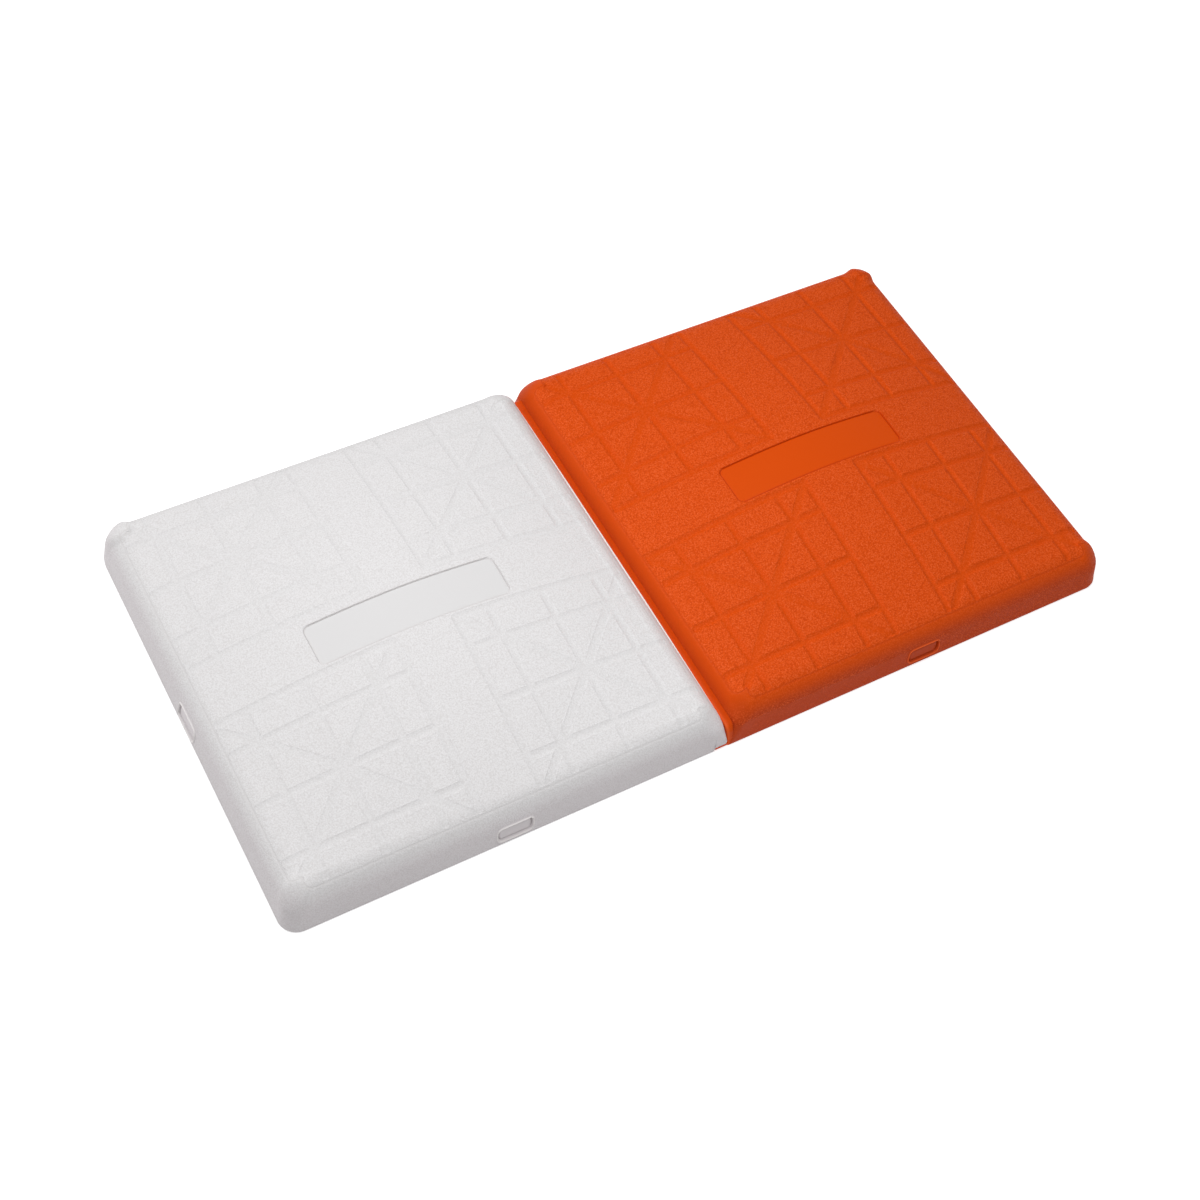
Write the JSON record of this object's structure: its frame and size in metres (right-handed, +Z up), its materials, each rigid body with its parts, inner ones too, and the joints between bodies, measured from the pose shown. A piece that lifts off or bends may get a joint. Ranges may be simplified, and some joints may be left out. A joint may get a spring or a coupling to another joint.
{
  "type": "baseball base",
  "caption": "Double first base: a white and an orange crowned rubber half side by side, each with a grooved star tread and a steel underside, marking first base for fielder and runner.",
  "frame": {"origin": "on the ground under the middle of the seam between the halves", "axes": "+X along the pair from the white half to the orange half, +Y away from the side seen in front, +Z up"},
  "size_m": [0.7626, 0.381, 0.0625],
  "materials": {
    "white_rubber": "matt moulded rubber with a fine pebble grain",
    "orange_rubber": "matt moulded rubber with a fine pebble grain",
    "foam": "closed-cell foam",
    "galvanised_sheet": "galvanised sheet",
    "dark_steel": "mill finish plate",
    "zinc_steel": "bright zinc plate"
  },
  "bodies": {
    "root": {"white_cover": "white_rubber", "white_core": "foam", "white_pan": "galvanised_sheet", "white_anchor_plate": "dark_steel", "white_anchor_nut_1": "zinc_steel", "white_anchor_nut_2": "zinc_steel", "white_anchor_nut_3": "zinc_steel", "white_anchor_nut_4": "zinc_steel", "white_pan_screw_1": "zinc_steel", "white_pan_screw_2": "zinc_steel", "white_pan_screw_3": "zinc_steel", "white_pan_screw_4": "zinc_steel", "white_pan_screw_5": "zinc_steel", "white_pan_screw_6": "zinc_steel", "white_pan_screw_7": "zinc_steel", "white_pan_screw_8": "zinc_steel", "orange_cover": "orange_rubber", "orange_core": "foam", "orange_pan": "galvanised_sheet", "orange_anchor_plate": "dark_steel", "orange_anchor_nut_1": "zinc_steel", "orange_anchor_nut_2": "zinc_steel", "orange_anchor_nut_3": "zinc_steel", "orange_anchor_nut_4": "zinc_steel", "orange_pan_screw_1": "zinc_steel", "orange_pan_screw_2": "zinc_steel", "orange_pan_screw_3": "zinc_steel", "orange_pan_screw_4": "zinc_steel", "orange_pan_screw_5": "zinc_steel", "orange_pan_screw_6": "zinc_steel", "orange_pan_screw_7": "zinc_steel", "orange_pan_screw_8": "zinc_steel", "join_screw_1": "zinc_steel", "join_screw_2": "zinc_steel", "join_screw_3": "zinc_steel", "join_screw_4": "zinc_steel", "join_screw_5": "zinc_steel"}
  },
  "joints": []
}
